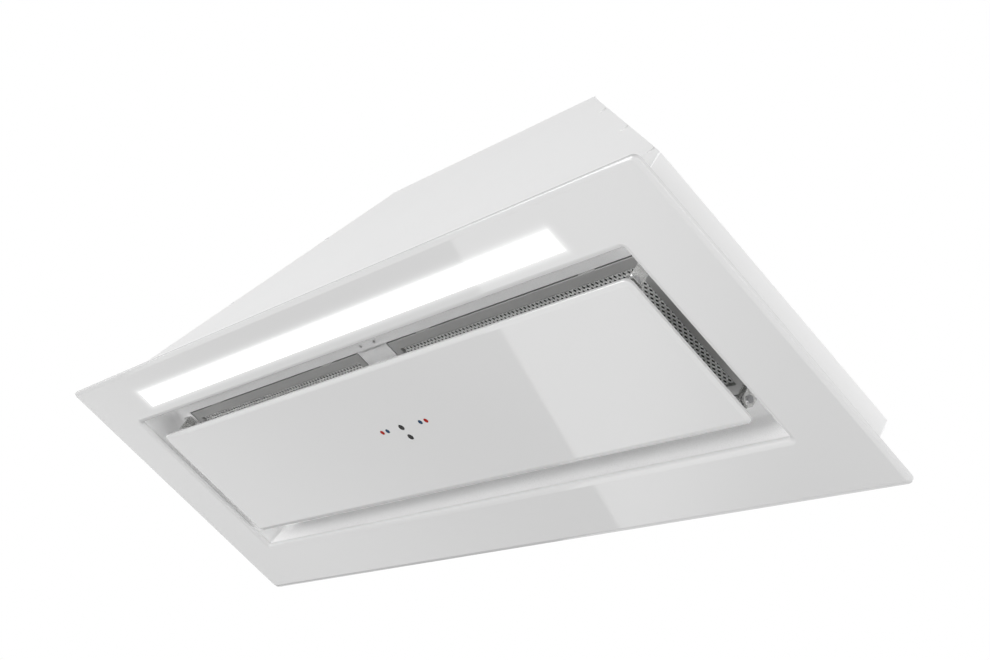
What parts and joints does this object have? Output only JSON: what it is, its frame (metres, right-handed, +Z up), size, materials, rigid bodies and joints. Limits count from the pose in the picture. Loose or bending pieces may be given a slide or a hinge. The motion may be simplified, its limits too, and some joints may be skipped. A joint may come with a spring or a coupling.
{
  "type": "built-in range hood",
  "caption": "Ceiling or cabinet range hood: glass face with a perimeter suction panel, a light strip, a hipped sheet body, a blower and a round duct collar.",
  "frame": {"origin": "middle of the four hanging holes, on the upper face of the top plate, on the duct axis", "axes": "+Z up along the duct, +X along the length to the right as seen from the front, +Y from the light strip at the front to the rear"},
  "size_m": [0.9, 0.322, 0.3485],
  "materials": {
    "white_glass": "gloss, painted white on the back",
    "body_sheet": "satin white",
    "white_sheet": "satin white",
    "opal_lens": "opal, lit",
    "zinc_sheet": "zinc-coated",
    "white_board": "white solder mask",
    "white_plastic": "matt",
    "rivet_metal": "satin",
    "foam_rubber": "matt foam",
    "screw_steel": "plated",
    "bright_steel": "bright",
    "magnet": "nickel-plated",
    "black_plastic": "matt",
    "grey_plastic": "matt",
    "motor_metal": "cast, satin",
    "bronze": "sintered bronze",
    "capacitor_can": "satin",
    "green_board": "solder mask",
    "filter_aluminium": "satin, rolled edge",
    "mesh_aluminium": "expanded mesh",
    "red_mark": "gloss inlay",
    "blue_mark": "gloss inlay",
    "grey_mark": "gloss inlay"
  },
  "bodies": {
    "hood": {"outer_glass": "white_glass", "glass_frame": "white_sheet", "light_lens": "opal_lens", "light_housing": "zinc_sheet", "led_board": "white_board", "led_driver": "white_plastic", "front_sheet": "body_sheet", "rear_sheet": "body_sheet", "left_end_sheet": "body_sheet", "right_end_sheet": "body_sheet", "body_rivets": "body_sheet", "seat_gasket": "foam_rubber", "top_plate": "body_sheet", "top_screws": "screw_steel", "recess_liner": "white_sheet", "centre_bridge": "white_sheet", "bridge_rivets": "rivet_metal", "hinge_bracket_left": "bright_steel", "hinge_bracket_right": "bright_steel", "hinge_pins": "screw_steel", "catch_bracket_left": "bright_steel", "catch_bracket_right": "bright_steel", "catch_magnets": "magnet", "blower_shell_left": "black_plastic", "blower_shell_right": "black_plastic", "inlet_ring": "zinc_sheet", "motor": "motor_metal", "motor_bracket": "zinc_sheet", "motor_bearings": "bronze", "capacitor": "capacitor_can", "capacitor_clip": "zinc_sheet", "control_box": "white_plastic", "control_lid": "white_plastic", "control_board": "green_board", "terminal_block": "white_plastic", "cable_gland": "black_plastic", "duct_collar": "black_plastic", "flap_pin": "screw_steel"},
    "front_panel": {"front_glass": "white_glass", "panel_tray": "white_sheet", "touch_board": "green_board", "touch_cover": "white_plastic", "marks_red": "red_mark", "marks_blue": "blue_mark", "marks_grey": "grey_mark", "hinge_leaf_left": "bright_steel", "hinge_leaf_right": "bright_steel", "catch_strikers": "bright_steel"},
    "left_filter": {"filter_frame_left": "filter_aluminium", "filter_mesh_left": "mesh_aluminium", "filter_grip_left": "bright_steel"},
    "right_filter": {"filter_frame_right": "filter_aluminium", "filter_mesh_right": "mesh_aluminium", "filter_grip_right": "bright_steel"},
    "rotor": {"impeller": "zinc_sheet", "impeller_blades": "zinc_sheet", "motor_shaft": "screw_steel", "shaft_nut": "screw_steel"},
    "front_flap": {"flap_front": "grey_plastic"},
    "rear_flap": {"flap_rear": "grey_plastic"}
  },
  "joints": [
    {"name": "panel_hinge", "type": "hinge", "parent": "hood", "child": "front_panel", "pos_m": [0, 0.066, -0.2705], "axis": [1, 0, 0], "range_deg": [0, 90]},
    {"name": "left_filter_lift", "type": "slide", "parent": "hood", "child": "left_filter", "axis": [0, 0, 1], "range_m": [0, 0.008]},
    {"name": "right_filter_lift", "type": "slide", "parent": "hood", "child": "right_filter", "axis": [0, 0, 1], "range_m": [0, 0.008]},
    {"name": "rotor_spin", "type": "hinge", "parent": "hood", "child": "rotor", "pos_m": [0, -0.032, -0.1315], "axis": [1, 0, 0], "continuous": true},
    {"name": "front_flap_hinge", "type": "hinge", "parent": "hood", "child": "front_flap", "pos_m": [0, 0, 0.01], "axis": [-1, 0, 0], "range_deg": [0, 75]},
    {"name": "rear_flap_hinge", "type": "hinge", "parent": "hood", "child": "rear_flap", "pos_m": [0, 0, 0.01], "axis": [1, 0, 0], "range_deg": [0, 75]}
  ]
}
